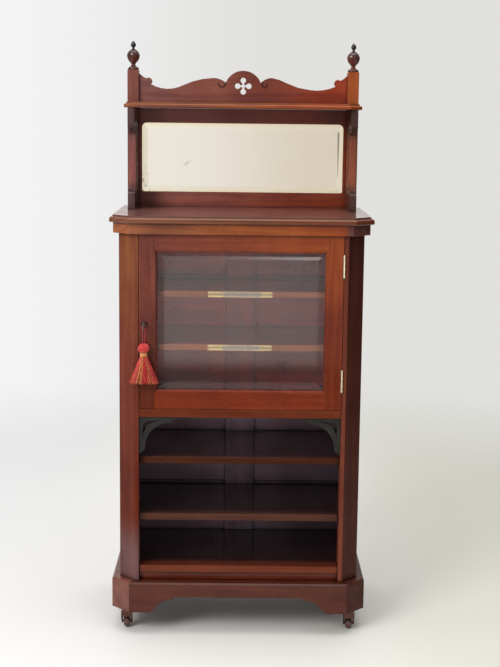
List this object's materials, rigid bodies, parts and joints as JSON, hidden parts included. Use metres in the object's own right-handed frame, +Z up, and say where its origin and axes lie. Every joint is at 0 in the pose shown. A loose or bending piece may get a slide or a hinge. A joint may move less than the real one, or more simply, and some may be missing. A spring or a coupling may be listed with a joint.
{
  "type": "sheet music cabinet",
  "caption": "Tall mahogany music cabinet on castors: open shelves, a glazed cupboard with key and tassel, and a mirror back with a gallery shelf and fretted crest.",
  "frame": {"origin": "on the floor under the middle of the cabinet's bounding box, with the key in the lock counted", "axes": "+Z up, -Y out of the front, +X to the right as seen from the front"},
  "size_m": [0.6124, 0.3896, 1.4084],
  "materials": {
    "mahogany": "french polished",
    "dark_mahogany": "polished, dark",
    "back_wood": "stained, dull",
    "ebonised": "ebonised, satin",
    "brass": "aged",
    "iron": "worn",
    "bronze": "dark patina",
    "wheel": "brown, polished",
    "glass": "clear, bevelled",
    "mirror": "aged silvering, bevelled",
    "silk": "red and gold threads"
  },
  "bodies": {
    "cabinet": {"plinth_front": "mahogany", "plinth_return_left": "mahogany", "plinth_return_right": "mahogany", "plinth_back": "dark_mahogany", "bottom_rail": "dark_mahogany", "bottom_board": "mahogany", "open_shelf_lower": "mahogany", "open_shelf_upper": "mahogany", "cupboard_floor": "mahogany", "cupboard_shelf_lower": "mahogany", "cupboard_shelf_upper": "mahogany", "corner_post_left": "mahogany", "corner_post_right": "mahogany", "side_panel_left": "mahogany", "side_panel_right": "mahogany", "back_muntin": "back_wood", "back_boards_left": "back_wood", "back_boards_right": "back_wood", "fret_bracket_left": "ebonised", "fret_bracket_right": "ebonised", "frieze": "mahogany", "top_board": "mahogany", "hinge_lower_post_leaf": "brass", "hinge_upper_post_leaf": "brass", "hinge_lower_pin": "brass", "hinge_upper_pin": "brass", "gallery_post_left": "mahogany", "gallery_post_right": "mahogany", "finial_left": "mahogany", "finial_right": "mahogany", "shelf_bracket_left": "mahogany", "shelf_bracket_right": "mahogany", "gallery_shelf": "mahogany", "mirror_frame": "mahogany", "mirror": "mirror", "mirror_backing": "back_wood", "crest": "mahogany"},
    "door": {"door_stile_left": "mahogany", "door_stile_right": "mahogany", "door_rail_bottom": "mahogany", "door_rail_top": "mahogany", "door_glass": "glass", "glazing_bead": "mahogany", "hinge_lower_door_leaf": "brass", "hinge_upper_door_leaf": "brass", "lock_case": "brass", "escutcheon": "brass"},
    "key": {"key": "iron"},
    "lock_bolt": {"lock_bolt": "brass"},
    "tassel": {"tassel_cord": "silk", "tassel_head": "silk", "tassel_skirt": "silk"},
    "castor_front_left": {"castor_horn_front_left": "bronze"},
    "castor_front_right": {"castor_horn_front_right": "bronze"},
    "castor_rear_left": {"castor_horn_rear_left": "bronze"},
    "castor_rear_right": {"castor_horn_rear_right": "bronze"},
    "wheel_front_left": {"castor_wheel_front_left": "wheel"},
    "wheel_front_right": {"castor_wheel_front_right": "wheel"},
    "wheel_rear_left": {"castor_wheel_rear_left": "wheel"},
    "wheel_rear_right": {"castor_wheel_rear_right": "wheel"}
  },
  "joints": [
    {"name": "door_hinge", "type": "hinge", "parent": "cabinet", "child": "door", "pos_m": [0.2364, -0.16115, 0.7532], "axis": [0, 0, 1], "range_deg": [0, 165]},
    {"name": "key_turn", "type": "hinge", "parent": "door", "child": "key", "pos_m": [-0.2238, -0.16015, 0.7474], "axis": [0, 1, 0], "range_deg": [0, 90]},
    {"name": "bolt_slide", "type": "slide", "parent": "door", "child": "lock_bolt", "axis": [-1, 0, 0], "range_m": [0, 0.006]},
    {"name": "tassel_swing", "type": "hinge", "parent": "door", "child": "tassel", "pos_m": [-0.2238, -0.16015, 0.7474], "axis": [0, 1, 0], "range_deg": [-40, 40]},
    {"name": "castor_swivel_front_left", "type": "hinge", "parent": "cabinet", "child": "castor_front_left", "pos_m": [-0.2685, -0.13215, 0.056], "axis": [0, 0, 1], "continuous": true},
    {"name": "castor_swivel_front_right", "type": "hinge", "parent": "cabinet", "child": "castor_front_right", "pos_m": [0.2685, -0.13215, 0.056], "axis": [0, 0, 1], "continuous": true},
    {"name": "castor_swivel_rear_left", "type": "hinge", "parent": "cabinet", "child": "castor_rear_left", "pos_m": [-0.2685, 0.15885, 0.056], "axis": [0, 0, 1], "continuous": true},
    {"name": "castor_swivel_rear_right", "type": "hinge", "parent": "cabinet", "child": "castor_rear_right", "pos_m": [0.2685, 0.15885, 0.056], "axis": [0, 0, 1], "continuous": true},
    {"name": "wheel_roll_front_left", "type": "hinge", "parent": "castor_front_left", "child": "wheel_front_left", "pos_m": [-0.2685, -0.12415, 0.0145], "axis": [1, 0, 0], "continuous": true},
    {"name": "wheel_roll_front_right", "type": "hinge", "parent": "castor_front_right", "child": "wheel_front_right", "pos_m": [0.2685, -0.12415, 0.0145], "axis": [1, 0, 0], "continuous": true},
    {"name": "wheel_roll_rear_left", "type": "hinge", "parent": "castor_rear_left", "child": "wheel_rear_left", "pos_m": [-0.2685, 0.16685, 0.0145], "axis": [1, 0, 0], "continuous": true},
    {"name": "wheel_roll_rear_right", "type": "hinge", "parent": "castor_rear_right", "child": "wheel_rear_right", "pos_m": [0.2685, 0.16685, 0.0145], "axis": [1, 0, 0], "continuous": true}
  ],
  "couplings": [
    {"joint": "bolt_slide", "follows": "key_turn", "m_per_rad": 0.003819}
  ]
}
